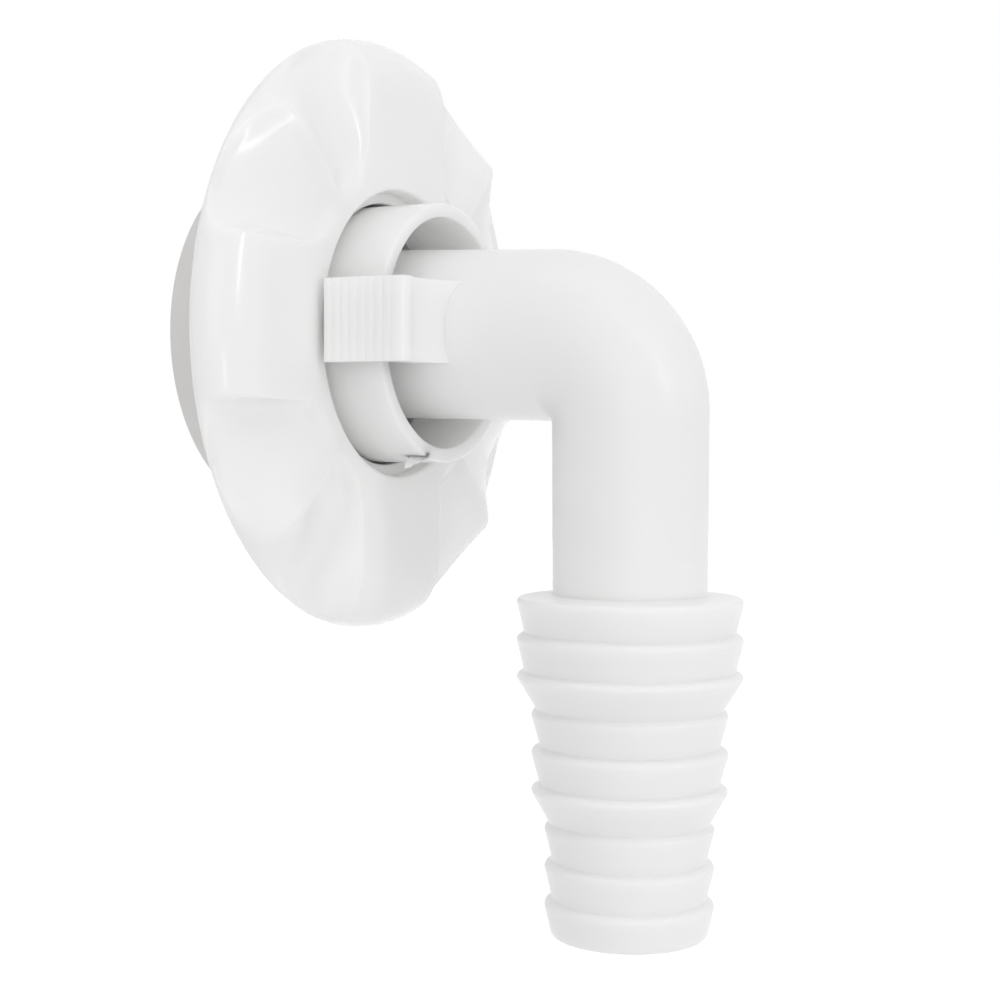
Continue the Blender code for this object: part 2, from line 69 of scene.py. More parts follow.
def add_camera():
    turn = math.radians(CAMERA_TURN_DEG)
    roll = math.radians(CAMERA_ROLL_DEG)
    ahead = Vector((-math.sin(turn), math.cos(turn), 0.0))
    level = Vector((math.cos(turn), math.sin(turn), 0.0))
    up = Vector((0.0, 0.0, 1.0))
    across = level * math.cos(roll) + up * math.sin(roll)
    upward = up * math.cos(roll) - level * math.sin(roll)
    data = bpy.data.cameras.new("photo_view")
    data.sensor_width = SENSOR_WIDTH
    data.lens = LENS
    data.shift_y = LEVEL_SHIFT
    data.clip_start = MM
    camera = bpy.data.objects.new("photo_view", data)
    place = Matrix((across, upward, -ahead)).transposed().to_4x4()
    camera.matrix_world = Matrix.Translation(CAMERA_PLACE) @ place
    bpy.context.scene.collection.objects.link(camera)
    bpy.context.scene.camera = camera
    return camera


camera = add_camera()
print("camera at", [round(value / MM, 1) for value in camera.matrix_world.translation], "mm")

# %% [markdown]
# ## Plastic and rubber
#
# The white pieces are injection moulded polypropylene. It is not perfectly even: the gloss
# changes a little where the melt cooled slower, and the skin has a very fine orange peel. One
# function makes each finish from noise on Object coordinates, so that the pattern stays with the
# piece. A picture of plastic would do too, but it would not hold up close by.

# %% A moulded plastic or rubber from noise
NOISE_LOW = 0.3
NOISE_HIGH = 0.7
CLOUD_DETAIL = 3.0
HAZE_DETAIL = 4.0
HAZES_PER_PATCH = 3.0
SKIN_DETAIL = 2.0
SURFACE_REFLECTION = 0.4


def link(tree, source, target):
    tree.links.new(source, target)


def noise_node(tree, coordinates, size, detail):
    """A noise whose patches are about so many metres across."""
    node = tree.nodes.new("ShaderNodeTexNoise")
    node.inputs["Scale"].default_value = 1.0 / size
    node.inputs["Detail"].default_value = detail
    link(tree, coordinates, node.inputs["Vector"])
    return node


def spread_node(tree, source, low, high):
    """Maps the middle of a noise to a range of values."""
    node = tree.nodes.new("ShaderNodeMapRange")
    node.inputs["From Min"].default_value = NOISE_LOW
    node.inputs["From Max"].default_value = NOISE_HIGH
    node.inputs["To Min"].default_value = low
    node.inputs["To Max"].default_value = high
    link(tree, source, node.inputs["Value"])
    return node.outputs["Result"]


def moulded(name, colours, gloss, patch, grain, grain_height, glow=0.0, glow_depth=MM):
    """A moulded finish: two close colours, a range of roughness, and a fine skin.

    Glow is the share of the light that goes in, spreads in the plastic as far as the glow's
    depth, and comes out again.
    """
    finish = bpy.data.materials.new(name)
    finish.use_nodes = True
    tree = finish.node_tree
    shader = tree.nodes["Principled BSDF"]
    coordinates = tree.nodes.new("ShaderNodeTexCoord").outputs["Object"]
    shader.inputs["Specular IOR Level"].default_value = SURFACE_REFLECTION
    shader.inputs["Subsurface Weight"].default_value = glow
    shader.inputs["Subsurface Radius"].default_value = (1.0, 1.0, 1.0)
    shader.inputs["Subsurface Scale"].default_value = glow_depth
    cloud = noise_node(tree, coordinates, patch, CLOUD_DETAIL).outputs["Fac"]
    mix = tree.nodes.new("ShaderNodeMix")
    mix.data_type = "RGBA"
    link(tree, spread_node(tree, cloud, 0.0, 1.0), mix.inputs["Factor"])
    mix.inputs["A"].default_value = (*colours[0], 1.0)
    mix.inputs["B"].default_value = (*colours[1], 1.0)
    link(tree, mix.outputs["Result"], shader.inputs["Base Color"])
    haze = noise_node(tree, coordinates, patch / HAZES_PER_PATCH, HAZE_DETAIL).outputs["Fac"]
    link(tree, spread_node(tree, haze, *gloss), shader.inputs["Roughness"])
    skin = noise_node(tree, coordinates, grain, SKIN_DETAIL).outputs["Fac"]
    bump = tree.nodes.new("ShaderNodeBump")
    bump.inputs["Strength"].default_value = 1.0
    bump.inputs["Distance"].default_value = grain_height
    link(tree, skin, bump.inputs["Height"])
    link(tree, bump.outputs["Normal"], shader.inputs["Normal"])
    return finish


# %% [markdown]
# The wheel and the hub come from polished moulds, and the elbow from a duller one. Light goes
# into this plastic and comes out again near by, which brightens its shaded sides. It goes deeper
# in the hub, because light also reaches the thin tube from inside. The rubber shows none of this.

# %% The finishes of the six pieces
WHITES = ((0.957, 0.957, 0.949), (0.962, 0.962, 0.954))
GREYS = ((0.75, 0.74, 0.732), (0.775, 0.765, 0.757))
BLACKS = ((0.02, 0.02, 0.02), (0.03, 0.03, 0.03))
POLISHED = {"gloss": (0.17, 0.21), "patch": 30 * MM, "grain": 0.8 * MM,
            "grain_height": 0.0004 * MM, "glow": 0.9}

wheel_white = moulded("wheel_white", WHITES, **POLISHED, glow_depth=1.2 * MM)
hub_white = moulded("hub_white", WHITES, **POLISHED, glow_depth=4.0 * MM)
pipe_white = moulded("pipe_white", WHITES, gloss=(0.28, 0.31), patch=30 * MM, grain=0.6 * MM,
                     grain_height=0.001 * MM, glow=0.9, glow_depth=1.2 * MM)
washer_white = moulded("washer_white", WHITES, gloss=(0.35, 0.45), patch=15 * MM,
                       grain=0.5 * MM, grain_height=0.002 * MM, glow=0.3)
sleeve_grey = moulded("sleeve_grey", GREYS, gloss=(0.55, 0.7), patch=12 * MM,
                      grain=0.25 * MM, grain_height=0.006 * MM)
ring_black = moulded("ring_black", BLACKS, gloss=(0.4, 0.5), patch=6 * MM, grain=0.2 * MM,
                     grain_height=0.004 * MM)
print("finishes:", [finish.name for finish in bpy.data.materials])

# %% [markdown]
# ## Turned pieces
#
# The sleeve, the washer and the hub are round about the hub's axis. Each starts as a few corners
# of its section, joined into a loop of edges. The corners are rounded first, as a moulder breaks
# every edge, and then the loop is spun round the axis. Rounding the loop is simpler than
# bevelling the finished ring, because each corner has its own radius there. The usual roundings,
# from a hair to plainly round, have names.

# %% Spinning a section, and handing a piece over
TURN_STEPS = 160
CORNER_STEPS = 4
MERGE = 0.002 * MM
HAIR = 0.1
CRISP = 0.2
BROKEN = 0.3
SOFT = 0.4
ROUND = 0.6


def ring_of_corners(corners):
    """A closed loop of edges in the XZ plane, with corners (x, r, rounding) in mm."""
    shape = bmesh.new()
    marks = [shape.verts.new((x * MM, 0.0, r * MM)) for x, r, _ in corners]
    for start, end in zip(marks, marks[1:] + marks[:1]):
        shape.edges.new((start, end))
    for rounding in sorted({corner[2] for corner in corners if corner[2] > 0.0}):
        picked = [mark for mark, corner in zip(marks, corners) if corner[2] == rounding]
        bmesh.ops.bevel(shape, geom=picked, offset=rounding * MM, offset_type="OFFSET",
                        segments=CORNER_STEPS, profile=0.5, affect="VERTICES", material=-1)
    return shape


def spin_section(shape, steps):
    """Spins a loop of edges once round the hub's axis."""
    bmesh.ops.spin(shape, geom=shape.verts[:] + shape.edges[:], cent=(0.0, 0.0, 0.0),
                   axis=(1.0, 0.0, 0.0), dvec=(0.0, 0.0, 0.0), angle=2.0 * math.pi,
                   steps=steps, use_merge=True, use_duplicate=False)
    bmesh.ops.remove_doubles(shape, verts=shape.verts[:], dist=MERGE)
    bmesh.ops.recalc_face_normals(shape, faces=shape.faces[:])
    return shape


def hand_over(name, shape, finish, node, body, sharp_deg=40.0):
    """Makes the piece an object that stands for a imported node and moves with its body."""
    mesh = bpy.data.meshes.new(name)
    shape.to_mesh(mesh)
    shape.free()
    mesh.materials.append(finish)
    mesh.shade_smooth()
    mesh.set_sharp_from_angle(angle=math.radians(sharp_deg))
    piece = bpy.data.objects.new(name, mesh)
    bpy.context.scene.collection.objects.link(piece)
    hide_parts(node)
    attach(piece, body)
    print(name, "has", len(mesh.polygons), "faces")


# %% [markdown]
# ## The grey sleeve and the washer
#
# The sleeve is a thick rubber ring. Behind the wheel only its near edge shows, as a plain grey
# crescent. Its rear is hollowed to a cone, where the hub's flange spreads it. The thin washer
# lets the nut turn on the rubber without dragging it round.

# %% The sleeve and the washer
SLEEVE_R = 20.8
SLEEVE_BORE_R = 15.4
CONE_R = 19.2
CONE_LAND = 1.2
CONE_END = 5.3
SLEEVE_LENGTH = 8.4
WASHER_R = 20.0
WASHER_BACK = 8.7
WASHER_FRONT = 10.2

sleeve_corners = [
    (0.0, SLEEVE_R, ROUND),
    (SLEEVE_LENGTH, SLEEVE_R, ROUND),
    (SLEEVE_LENGTH, SLEEVE_BORE_R, CRISP),
    (CONE_END, SLEEVE_BORE_R, SOFT),
    (CONE_LAND, CONE_R, BROKEN),
    (0.0, CONE_R, CRISP),
]
sleeve_shape = spin_section(ring_of_corners(sleeve_corners), TURN_STEPS)
hand_over("seal_sleeve_finished", sleeve_shape, sleeve_grey, "seal_sleeve", "pipe_fitting")

washer_corners = [
    (WASHER_BACK, WASHER_R, CRISP),
    (WASHER_FRONT, WASHER_R, CRISP),
    (WASHER_FRONT, SLEEVE_BORE_R, HAIR),
    (WASHER_BACK, SLEEVE_BORE_R, HAIR),
]
washer_shape = spin_section(ring_of_corners(washer_corners), TURN_STEPS)
hand_over("slip_washer_finished", washer_shape, washer_white, "slip_washer", "pipe_fitting")

# %% [markdown]
# ## The hub
#
# The hub is a thin white tube with a wedge-shaped flange at its rear. Its front rim stands out
# of the wheel's hole, and the elbow's spigot snaps in behind a low bead inside. The bead is part
# of the same section, so it is spun with the tube. A torn scrap of flash hangs under the rim. It
# has no regular shape, so it is a small ball whose corners are pulled out along a wave.

# %% The hub
HUB_R = 15.1
HUB_BORE_R = 13.45
HUB_RIM_X = 24.5
FLANGE_R = 18.9
FLANGE_LAND = 0.9
FLANGE_END = 5.0
FLANGE_EDGE = 0.15
OUTLET_R = 11.0
SHOULDER_X = 6.5
BEAD_X = 15.2
BEAD_R = 12.75
BEAD_BACK = 0.7
BEAD_LEAD_IN = 1.4
NUB_X = 22.9
NUB_R = 0.85
NUB_TURN_DEG = 163.0
NUB_BALL_STEPS = 3
NUB_POINTS = 2.5
NUB_PHASE = 0.4
NUB_PULL = 1.3
NUB_FLATNESS = 0.6

hub_corners = [
    (HUB_RIM_X, HUB_BORE_R, BROKEN),
    (HUB_RIM_X, HUB_R, BROKEN),
    (FLANGE_END, HUB_R, ROUND),
    (FLANGE_LAND, FLANGE_R, CRISP),
    (0.0, FLANGE_R, FLANGE_EDGE),
    (0.0, OUTLET_R, BROKEN),
    (SHOULDER_X, OUTLET_R, BROKEN),
    (SHOULDER_X, HUB_BORE_R, CRISP),
    (BEAD_X - BEAD_BACK, HUB_BORE_R, CRISP),
    (BEAD_X, BEAD_R, BROKEN),
    (BEAD_X + BEAD_LEAD_IN, HUB_BORE_R, BROKEN),
]


def add_nub(shape):
    """The scrap of flash: a small ball pulled into a few points.

    It stays low enough for the finger tabs to pass over it.
    """
    made = bmesh.ops.create_icosphere(shape, subdivisions=NUB_BALL_STEPS, radius=NUB_R * MM)
    corners = made["verts"]
    for corner in corners:
        x, y, z = corner.co / MM
        wave = math.cos(NUB_POINTS * math.atan2(z, x) + NUB_PHASE)
        reach = 1.0 + NUB_PULL * max(wave, 0.0) ** 2
        corner.co = Vector((x * reach, y * NUB_FLATNESS, z * reach)) * MM
    turn = Matrix.Rotation(math.radians(NUB_TURN_DEG), 4, "X")
    place = turn @ Matrix.Translation((NUB_X * MM, 0.0, HUB_R * MM))
    bmesh.ops.transform(shape, matrix=place, verts=corners)


hub_shape = spin_section(ring_of_corners(hub_corners), TURN_STEPS)
add_nub(hub_shape)
hand_over("hub_finished", hub_shape, hub_white, "hub", "pipe_fitting", sharp_deg=30.0)

# %% [markdown]
# ## The hand nut
#
# The nut is a wheel for wet hands. Four broad arms stay at full height, and between them thumbs
# press into pairs of scoops that meet in a crisp ridge. The wheel is first spun as a plain
# section with a hollow back, with rings close enough together to take the scoops. The scoops
# are then pressed in by moving its vertices back, which keeps the ridges crisp and the arm
# edges soft. Cutting with a tool body would leave a hard edge on both sides.

# %% The wheel's section
NUT_BACK = 10.5
NUT_FACE = 18.5
NUT_BORE_R = 15.45
NUT_COLLAR_R = 18.05
NUT_COLLAR_ROOT = 0.5
NUT_HOLE_R = 16.8
NUT_HOLE_DEPTH = 2.2
NUT_HOLE_LAND = 0.9
NUT_R = 34.7
NUT_RIM_DROP = 4.6
NUT_RIM_EDGE = 0.6
NUT_CROWN = 0.3
NUT_CROWN_R = 28.5
NUT_SKIN = 2.0
WHEEL_STEPS = 384
SHOULDER_STEPS = 20
FACE_STEPS = 22
RIM_EDGE_TURNS_DEG = (18, 36, 54, 72, 90)
FACE_BACK_SHARES = (0.8, 0.6, 0.4, 0.2)


def shoulder(inset, steps):
    """The round shoulder from the crown to the widest circle, so far inside the skin."""
    points = []
    for k in range(steps + 1):
        turn = math.radians(90.0) * k / steps
        x = NUT_FACE - NUT_RIM_DROP + (NUT_RIM_DROP + NUT_CROWN - inset) * math.cos(turn)
        points.append((x, NUT_CROWN_R + (NUT_R - NUT_CROWN_R - inset) * math.sin(turn), 0.0))
    return points


def wheel_corners():
    """The section from the bore over the face and the rim, and back behind the skin."""
    corners = [
        (NUT_BACK, NUT_BORE_R, BROKEN),
        (NUT_FACE - NUT_HOLE_DEPTH, NUT_BORE_R, CRISP),
        (NUT_FACE - NUT_HOLE_DEPTH, NUT_HOLE_R, CRISP),
        (NUT_FACE, NUT_HOLE_R, ROUND),
    ]
    for k in range(1, FACE_STEPS):
        share = k / FACE_STEPS
        lift = NUT_CROWN * math.sin(math.radians(90.0) * share)
        r = NUT_HOLE_R + NUT_HOLE_LAND + (NUT_CROWN_R - NUT_HOLE_R - NUT_HOLE_LAND) * share
        corners.append((NUT_FACE + lift, r, 0.0))
    corners += shoulder(0.0, SHOULDER_STEPS)
    back = NUT_FACE - NUT_RIM_DROP - NUT_RIM_EDGE
    for turn_deg in RIM_EDGE_TURNS_DEG:
        turn = math.radians(turn_deg)
        x = back + NUT_RIM_EDGE * (1.0 - math.sin(turn))
        corners.append((x, NUT_R - NUT_RIM_EDGE * (1.0 - math.cos(turn)), 0.0))
    corners.append((back, NUT_R - NUT_SKIN, CRISP))
    corners += reversed(shoulder(NUT_SKIN, SHOULDER_STEPS))
    for share in FACE_BACK_SHARES:
        r = NUT_COLLAR_R + (NUT_CROWN_R - NUT_COLLAR_R) * share
        corners.append((NUT_FACE - NUT_SKIN + NUT_CROWN * share, r, 0.0))
    corners += [
        (NUT_FACE - NUT_SKIN, NUT_COLLAR_R, NUT_COLLAR_ROOT),
        (NUT_BACK, NUT_COLLAR_R, SOFT),
    ]
    return corners


print("the wheel's section has", len(wheel_corners()), "corners")

# %% [markdown]
# The scoops follow one rule. Beside the arm the floor drops steeply from a crisp edge, and then
# it rises gently to the ridge on the diagonal. Outwards it falls away faster and faster, down to
# a narrow lip along the rim. Towards the hole the arms widen, so each scoop ends in a rounded
# tip. The columns of the mesh are first slid round the wheel, so that one of them runs along
# each arm's edge. Without this the edges would be sawtoothed, however fine the mesh is.

# %% The rule of the thumb scoops
ARMS = 4
ARM_HALF_WIDTH = 8.6
ARM_FLARE = 1.2
ARM_FLARE_RUN = 4.0
SCOOP_INNER_R = 18.9
SCOOP_RUN_IN = 2.6
SCOOP_DEPTH = 0.8
SCOOP_FALL = 3.7
SCOOP_END_R = 33.5
SCOOP_LEAN = 0.7
QUARTER = 2.0 * math.pi / ARMS
EDGE_COLUMN = QUARTER / 6.0


def eased(share):
    """A share between 0 and 1 that starts and ends gently."""
    share = min(max(share, 0.0), 1.0)
    return share * share * (3.0 - 2.0 * share)


def arm_edge(r):
    """Half the angle that an arm takes up on the circle of radius r."""
    near = 1.0 - eased((r - SCOOP_INNER_R) / ARM_FLARE_RUN)
    return math.asin((ARM_HALF_WIDTH + ARM_FLARE * near) / r)


def from_arm(angle):
    """The angle to the middle of the nearest arm, with its sign."""
    return (angle + QUARTER / 2) % QUARTER - QUARTER / 2


def slid(r, angle):
    """The angle of a mesh column, after it is slid to keep to the arm's edge."""
    inwards = min(max((r - NUT_HOLE_R) / (SCOOP_INNER_R - NUT_HOLE_R), 0.0), 1.0)
    edge = EDGE_COLUMN + (arm_edge(max(r, SCOOP_INNER_R)) - EDGE_COLUMN) * inwards
    offset = from_arm(angle)
    away = abs(offset)
    if away <= EDGE_COLUMN:
        moved = away * edge / EDGE_COLUMN
    else:
        rest = QUARTER / 2 - EDGE_COLUMN
        moved = edge + (away - EDGE_COLUMN) * (QUARTER / 2 - edge) / rest
    return angle + math.copysign(moved, offset) - offset


def scoop_press(r, angle, x):
    """How far, in mm, the skin at this place is pressed back.

    The lean is under 1, so that the deepest place lies nearer the arm than the ridge.
    """
    run = eased((r - SCOOP_INNER_R) / SCOOP_RUN_IN)
    if run == 0.0:
        return 0.0
    out = min((r - SCOOP_INNER_R) / (SCOOP_END_R - SCOOP_INNER_R), 1.0)
    floor = NUT_FACE - SCOOP_DEPTH - SCOOP_FALL * out * out
    edge = arm_edge(r)
    across = min((abs(from_arm(angle)) - edge) / (QUARTER / 2 - edge), 1.0)
    if across <= 0.0:
        return 0.0
    return max(x - floor, 0.0) * math.sin(math.pi * across ** SCOOP_LEAN) * run


print("an arm takes up", round(math.degrees(2.0 * arm_edge(NUT_CROWN_R)), 1), "degrees")

# %% [markdown]
# Behind its face the wheel is hollow, as moulded wheels are, and its back follows the scoops, so
# that the skin keeps its thickness. The photograph doesn't show the back. A thin web is guessed
# under each ridge, from the collar out to where the shoulder starts. It is a plain plate, so it
# is a scaled cube that sinks into the skin and the collar. The whole wheel is then turned by
# about a degree, which is how it was left in the photograph.

# %% Pressing the wheel, and its webs
NUT_TURN_DEG = -1.2
NEARLY = 0.01
WEB_WIDTH = 1.6
WEB_SHORT_OF_BACK = 0.4
WEB_INTO_SKIN = 0.6
WEB_OFF_BORE = 0.6


def press_scoops(shape):
    """Slides each corner of the mesh to its column, and presses it back."""
    for corner in shape.verts:
        x, y, z = corner.co / MM
        r = math.hypot(y, z)
        angle = slid(r, math.atan2(y, z))
        behind = corner.normal.x < 0.0 and r < NUT_R - NUT_SKIN + NEARLY
        skin = NUT_SKIN if behind else 0.0
        x -= scoop_press(r, angle, x + skin)
        corner.co = Vector((x, r * math.sin(angle), r * math.cos(angle))) * MM


def add_webs(shape):
    """Four thin webs under the ridges, from the collar to the start of the shoulder."""
    low = NUT_FACE - NUT_RIM_DROP - NUT_RIM_EDGE + WEB_SHORT_OF_BACK
    high = NUT_FACE - NUT_SKIN + WEB_INTO_SKIN
    for k in range(ARMS):
        made = bmesh.ops.create_cube(shape, size=MM)["verts"]
        size = (high - low, WEB_WIDTH, NUT_CROWN_R - NUT_BORE_R - WEB_OFF_BORE)
        bmesh.ops.scale(shape, vec=size, verts=made)
        middle_r = (NUT_CROWN_R + NUT_BORE_R + WEB_OFF_BORE) / 2
        middle = ((low + high) / 2 * MM, 0.0, middle_r * MM)
        bmesh.ops.translate(shape, vec=middle, verts=made)
        turn = Matrix.Rotation(2.0 * math.pi * (k + 0.5) / ARMS, 3, "X")
        bmesh.ops.rotate(shape, cent=(0.0, 0.0, 0.0), matrix=turn, verts=made)


wheel_shape = spin_section(ring_of_corners(wheel_corners()), WHEEL_STEPS)
wheel_shape.normal_update()
press_scoops(wheel_shape)
add_webs(wheel_shape)
wheel_turn = Matrix.Rotation(math.radians(NUT_TURN_DEG), 3, "X")
bmesh.ops.rotate(wheel_shape, cent=(0.0, 0.0, 0.0), matrix=wheel_turn,
                 verts=wheel_shape.verts[:])
bmesh.ops.recalc_face_normals(wheel_shape, faces=wheel_shape.faces[:])
hand_over("hand_nut_finished", wheel_shape, wheel_white, "hand_nut", "nut", sharp_deg=50.0)

# %% [markdown]
# ## The elbow
#
# The elbow is one moulding: the spigot's head inside the hub, the leg, the bend and the hose
# tail. It is drawn as one ring of edges. The ring is extruded from station to station along the
# water's way, and each station says where the ring stands and how wide it is. The ring then runs
# back inside as the bore, and closes on itself. A bevelled curve would give the bend but not the
# barbs.

# %% Stations along the elbow
LEG_FALL_DEG = 1.5
LEG_START_R = 9.9
LEG_END_R = 9.7
TAIL_X = 47.9
TAIL_TOP_R = 8.7
INNER_CORNER_R = 0.35
BEND_STEPS = 40
LINE_STEPS = 4
LONGEST_ROUNDING_SHARE = 0.45


def on_leg(x):
    """The ring's place so far along the leg, which falls a little from the wheel's face."""
    fall = Matrix.Rotation(math.radians(LEG_FALL_DEG), 4, "Y")
    pivot = Matrix.Translation((NUT_FACE * MM, 0.0, 0.0))
    along = Matrix.Translation(((x - NUT_FACE) * MM, 0.0, 0.0))
    return pivot @ fall @ along @ Matrix.Rotation(math.radians(90.0), 4, "Y")


def on_head(x):
    """The ring's place so far along the spigot's head, which is level in the hub."""
    place = Matrix.Translation((x * MM, 0.0, 0.0))
    return place @ Matrix.Rotation(math.radians(90.0), 4, "Y")


def on_tail(z):
    """The ring's place at a height on the upright hose tail."""
    place = Matrix.Translation((TAIL_X * MM, 0.0, z * MM))
    return place @ Matrix.Rotation(math.radians(180.0), 4, "Y")


def bend_stations():
    """Stations round the bend, narrowing from the leg to the tail."""
    fall = math.radians(LEG_FALL_DEG)
    x = TAIL_X - TAIL_TOP_R - INNER_CORNER_R
    below = LEG_END_R + INNER_CORNER_R + (x - NUT_FACE) * math.sin(fall)
    centre = Vector((x, 0.0, -below / math.cos(fall)))
    stations = []
    for k in range(BEND_STEPS + 1):
        share = k / BEND_STEPS
        turn = fall + (math.radians(90.0) - fall) * share
        r = LEG_END_R + (TAIL_TOP_R - LEG_END_R) * share
        out = Vector((math.sin(turn), 0.0, math.cos(turn)))
        place = Matrix.Translation((centre + out * (r + INNER_CORNER_R)) * MM)
        stations.append((place @ Matrix.Rotation(math.radians(90.0) + turn, 4, "Y"), r))
    return stations


def rounded_line(points, steps=LINE_STEPS):
    """Rounds the corners (s, r, rounding) of a line into short arcs."""
    made = []
    for k, (s, r, rounding) in enumerate(points):
        here = Vector((s, r))
        if rounding == 0.0 or k in (0, len(points) - 1):
            made.append((s, r))
            continue
        before = Vector(points[k - 1][:2]) - here
        after = Vector(points[k + 1][:2]) - here
        room_before = before.length * LONGEST_ROUNDING_SHARE
        room_after = after.length * LONGEST_ROUNDING_SHARE
        start = here + before.normalized() * min(rounding, room_before)
        end = here + after.normalized() * min(rounding, room_after)
        for step in range(steps + 1):
            share = step / steps
            point = start.lerp(here, share).lerp(here.lerp(end, share), share)
            made.append((point.x, point.y))
    return made


print("the bend has", len(bend_stations()), "stations")

# %% [markdown]
# The hose tail steps down through three hose sizes, with three barbs for each. Each barb has a
# sharp-looking edge that is really rounded by a few tenths, and a taper that ends in the next
# barb's top face. One loop makes all nine from the size of their group.

# %% The barbs of the hose tail
TAIL_BASE_R = 8.6
TAIL_TAPER = 0.03
TAIL_RUN_IN = 6.0
TAIL_END = -67.2
TAIL_END_ROUNDING = 0.8
TAIL_END_LAND = 1.2
BARBS = 9
BARBS_PER_SIZE = 3
BARB_TOP = -29.9
BARB_PITCH = 4.19
BARB_EDGE_R = (12.6, 10.95, 9.45)
BARB_ROOT_R = (11.75, 9.98, 8.57)
BARB_LAST_ROOT_R = (10.45, 8.95, 8.63)
BARB_ROOT_RISE = 0.45
BARB_ROOT_ROUNDING = 0.25
BARB_SHOULDER_RISE = 0.15
BARB_SHOULDER_IN = 0.25
BARB_EDGE_DROP = 0.25


def tail_line():
    """The tail's outside from its top to its end, as (z, r, rounding)."""
    line = [(BARB_TOP + TAIL_RUN_IN, TAIL_BASE_R + TAIL_TAPER, 0.0)]
    last_r = TAIL_BASE_R
    for k in range(BARBS):
        size = k // BARBS_PER_SIZE
        last_of_size = k % BARBS_PER_SIZE == BARBS_PER_SIZE - 1
        edge_r = BARB_EDGE_R[size]
        edge_z = BARB_TOP - k * BARB_PITCH
        line.append((edge_z + BARB_ROOT_RISE, last_r, BARB_ROOT_ROUNDING))
        line.append((edge_z + BARB_SHOULDER_RISE, edge_r - BARB_SHOULDER_IN, BROKEN))
        line.append((edge_z - BARB_EDGE_DROP, edge_r, BROKEN))
        last_r = BARB_LAST_ROOT_R[size] if last_of_size else BARB_ROOT_R[size]
    line.append((TAIL_END, last_r, TAIL_END_ROUNDING))
    line.append((TAIL_END, last_r - TAIL_END_LAND, 0.0))
    return line


print("the tail's line has", len(tail_line()), "corners for", BARBS, "barbs")

# %% [markdown]
# The spigot's head runs in the hub's bore and has a groove for the sealing ring. The stations of
# the head, the leg, the bend and the tail follow each other on the outside. Inside, the same
# bend is repeated one wall smaller, and long straight steps make the rest of the bore.

# %% Extruding the ring along its stations
WALL = 1.9
MOUTH_BEVEL = 0.4
HEAD_X = 7.2
HEAD_R = 13.1
HEAD_END = 14.2
HEAD_LEAD = 1.5
GROOVE_X = 9.37
GROOVE_WIDTH = 2.1
GROOVE_R = 11.35
PIPE_SIDES = 128


def elbow_stations():
    """The ring's places and radii, out along the skin and back through the bore."""
    head = [
        (HEAD_X, LEG_END_R - WALL, 0.0),
        (HEAD_X, HEAD_R, ROUND),
        (GROOVE_X, HEAD_R, HAIR),
        (GROOVE_X, GROOVE_R, HAIR),
        (GROOVE_X + GROOVE_WIDTH, GROOVE_R, HAIR),
        (GROOVE_X + GROOVE_WIDTH, HEAD_R, HAIR),
        (HEAD_END, HEAD_R, ROUND),
        (HEAD_END, LEG_START_R, ROUND),
        (HEAD_END + HEAD_LEAD, LEG_START_R, 0.0),
    ]
    stations = [(on_head(x), r) for x, r in rounded_line(head)]
    stations.append((on_leg(NUT_FACE), LEG_START_R))
    stations += bend_stations()
    stations += [(on_tail(z), r) for z, r in rounded_line(tail_line())]
    mouth_r = BARB_LAST_ROOT_R[-1] - WALL
    stations.append((on_tail(TAIL_END), mouth_r + MOUTH_BEVEL))
    stations.append((on_tail(TAIL_END + MOUTH_BEVEL), mouth_r))
    stations += [(place, r - WALL) for place, r in reversed(bend_stations())]
    return stations


def draw_ring(stations, sides):
    """Extrudes a ring of edges through the stations and back to the first."""
    shape = bmesh.new()
    place, r = stations[0]
    bmesh.ops.create_circle(shape, segments=sides, radius=r * MM, matrix=place)
    edges = shape.edges[:]
    for next_place, next_r in stations[1:] + stations[:1]:
        grown = bmesh.ops.extrude_edge_only(shape, edges=edges)["geom"]
        corners = [item for item in grown if isinstance(item, bmesh.types.BMVert)]
        edges = [item for item in grown if isinstance(item, bmesh.types.BMEdge)]
        step = next_place @ Matrix.Scale(next_r / r, 4) @ place.inverted()
        bmesh.ops.transform(shape, matrix=step, verts=corners)
        place, r = next_place, next_r
    bmesh.ops.remove_doubles(shape, verts=shape.verts[:], dist=MERGE)
    bmesh.ops.recalc_face_normals(shape, faces=shape.faces[:])
    return shape


pipe_shape = draw_ring(elbow_stations(), PIPE_SIDES)
print("the pipe has", len(pipe_shape.faces), "faces before its tabs")

# %% [markdown]
# Two finger tabs stand beside the leg, to turn the elbow in the hub. Each is a small plate with
# fine grip ribs, on a bridge that grows out of the leg. The tab is an outline seen from above,
# filled and given its width by an extrusion. The same outline makes the far tab, with its side
# turned over. The bridge's foot reaches into the leg, and a union makes one moulding of all
# three. BRIDGE_FRONT_LINE lists the bridge's front from that foot out to the tab.

# %% The finger tabs
TAB_BACK = 19.2
TAB_FRONT = 29.5
TAB_R = 18.4
TAB_UNDER = 16.75
TAB_WIDTH = 9.2
TAB_LIFT = 0.7
TAB_FRONT_ROUNDING = 0.5
TAB_END_RUN = 0.5
TAB_END_RISE = 0.3
TAB_RIBS = 9
RIBS_START = 0.5
RIBS_SPARE = 0.6
RIB_HEIGHT = 0.14
RIB_ROUNDING = 0.15
RIB_TOP_SHARES = (0.25, 0.75)
BRIDGE_BACK = 26.2
BRIDGE_ROUNDING = 0.9
BRIDGE_ROOT_R = 9.9
BRIDGE_HEEL_R = 9.6
BRIDGE_HEEL_RUN = 1.4
BRIDGE_BURIED_R = 8.05
BRIDGE_FRONT_LINE = (
    (31.4, 7.6, 0.0),
    (30.2, 8.7, 1.0),
    (29.0, 11.0, 2.2),
    (28.7, 15.2, 1.5),
    (29.6, 16.6, 0.8),
)
TAB_LINE_STEPS = 3


